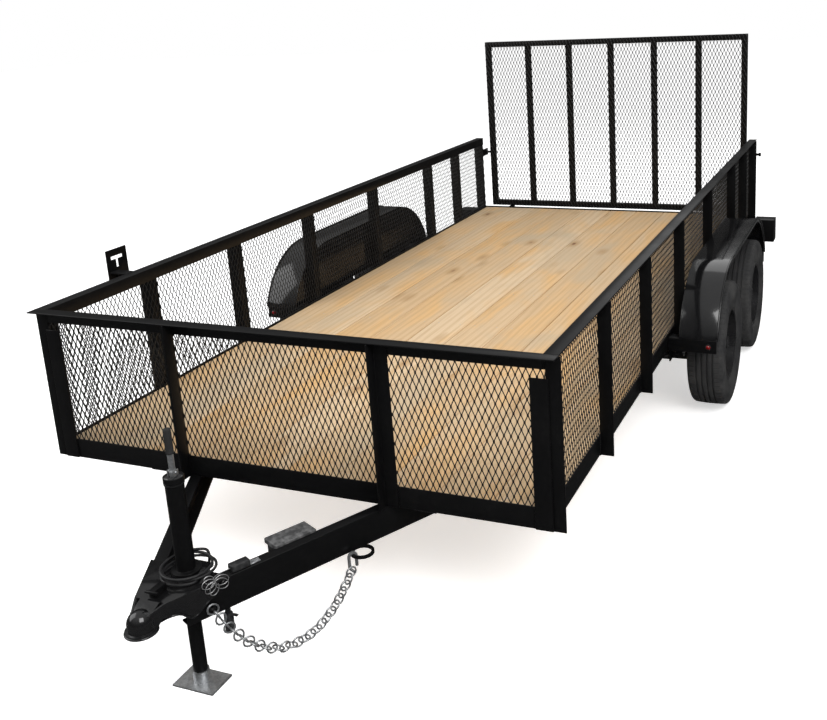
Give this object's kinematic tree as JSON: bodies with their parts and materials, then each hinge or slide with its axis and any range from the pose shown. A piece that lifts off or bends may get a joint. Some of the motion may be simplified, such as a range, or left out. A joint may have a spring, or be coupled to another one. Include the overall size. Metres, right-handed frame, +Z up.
{
  "type": "utility trailer",
  "caption": "Tandem-axle utility trailer with a timber deck, expanded-mesh sides, a fold-down ramp gate, an A-frame tongue with coupler and a screw jack.",
  "frame": {"origin": "on the ground below the middle of the whole trailer", "axes": "+X to the side, +Y from the tongue to the gate, +Z up"},
  "size_m": [2.435, 5.184, 1.67],
  "materials": {
    "axle_black": "satin black paint",
    "black_steel": "gloss black paint",
    "box_plastic": "black plastic",
    "cable_black": "black cable sheath",
    "deck_timber": "treated pine",
    "grip_rubber": "matt black plastic",
    "lanyard_wire": "thin steel cable",
    "mesh_black": "gloss black paint on expanded steel",
    "red_lens": "clear red plastic",
    "rim_paint": "dark painted steel",
    "spring_steel": "black painted spring steel",
    "tyre_rubber": "matt rubber",
    "zinc": "bright zinc plate"
  },
  "bodies": {
    "chassis": {"axle_front": "axle_black", "axle_rear": "axle_black", "battery_box": "box_plastic", "breakaway_switch": "box_plastic", "chain_holders": "black_steel", "coupler": "black_steel", "coupler_latch": "black_steel", "crossmembers": "black_steel", "deck_boards": "deck_timber", "equalisers": "black_steel", "fender_brackets": "black_steel", "fender_left": "black_steel", "fender_right": "black_steel", "gate_catches": "black_steel", "gate_hinges": "black_steel", "harness_cable": "cable_black", "harness_coil": "cable_black", "harness_plug": "box_plastic", "jack_crank": "zinc", "jack_grip": "grip_rubber", "jack_housing": "black_steel", "lanyard": "lanyard_wire", "lanyard_bow": "lanyard_wire", "leaf_springs": "spring_steel", "marker_lamps": "red_lens", "mesh_front": "mesh_black", "mesh_left": "mesh_black", "mesh_right": "mesh_black", "posts_front": "black_steel", "posts_left": "black_steel", "posts_right": "black_steel", "rail_front": "black_steel", "rail_left": "black_steel", "rail_rear": "black_steel", "rail_right": "black_steel", "safety_chain": "zinc", "spare_carrier": "black_steel", "spring_clamps": "zinc", "spring_hangers": "black_steel", "tail_boxes": "black_steel", "tail_lamps": "red_lens", "tongue_left": "black_steel", "tongue_right": "black_steel", "top_rail_front": "black_steel", "top_rail_left": "black_steel", "top_rail_right": "black_steel"},
    "wheel_front_left": {"tyre_front_left": "tyre_rubber", "rim_front_left": "rim_paint"},
    "wheel_front_right": {"tyre_front_right": "tyre_rubber", "rim_front_right": "rim_paint"},
    "wheel_rear_left": {"tyre_rear_left": "tyre_rubber", "rim_rear_left": "rim_paint"},
    "wheel_rear_right": {"tyre_rear_right": "tyre_rubber", "rim_rear_right": "rim_paint"},
    "ramp_gate": {"gate_frame": "black_steel", "gate_lugs": "black_steel", "gate_mesh": "mesh_black"},
    "jack_leg": {"jack_leg": "black_steel", "jack_foot": "zinc"}
  },
  "joints": [
    {"name": "wheel_front_left_spin", "type": "hinge", "parent": "chassis", "child": "wheel_front_left", "pos_m": [-1.1285, 0.29, 0.305], "axis": [1, 0, 0], "continuous": true},
    {"name": "wheel_front_right_spin", "type": "hinge", "parent": "chassis", "child": "wheel_front_right", "pos_m": [1.1285, 0.29, 0.305], "axis": [1, 0, 0], "continuous": true},
    {"name": "wheel_rear_left_spin", "type": "hinge", "parent": "chassis", "child": "wheel_rear_left", "pos_m": [-1.1285, 1.128, 0.305], "axis": [1, 0, 0], "continuous": true},
    {"name": "wheel_rear_right_spin", "type": "hinge", "parent": "chassis", "child": "wheel_rear_right", "pos_m": [1.1285, 1.128, 0.305], "axis": [1, 0, 0], "continuous": true},
    {"name": "gate_hinge", "type": "hinge", "parent": "chassis", "child": "ramp_gate", "pos_m": [0, 2.574, 0.43], "axis": [-1, 0, 0], "range_deg": [0, 109]},
    {"name": "jack_slide", "type": "slide", "parent": "chassis", "child": "jack_leg", "axis": [0, 0, 1], "range_m": [0, 0.24]}
  ]
}
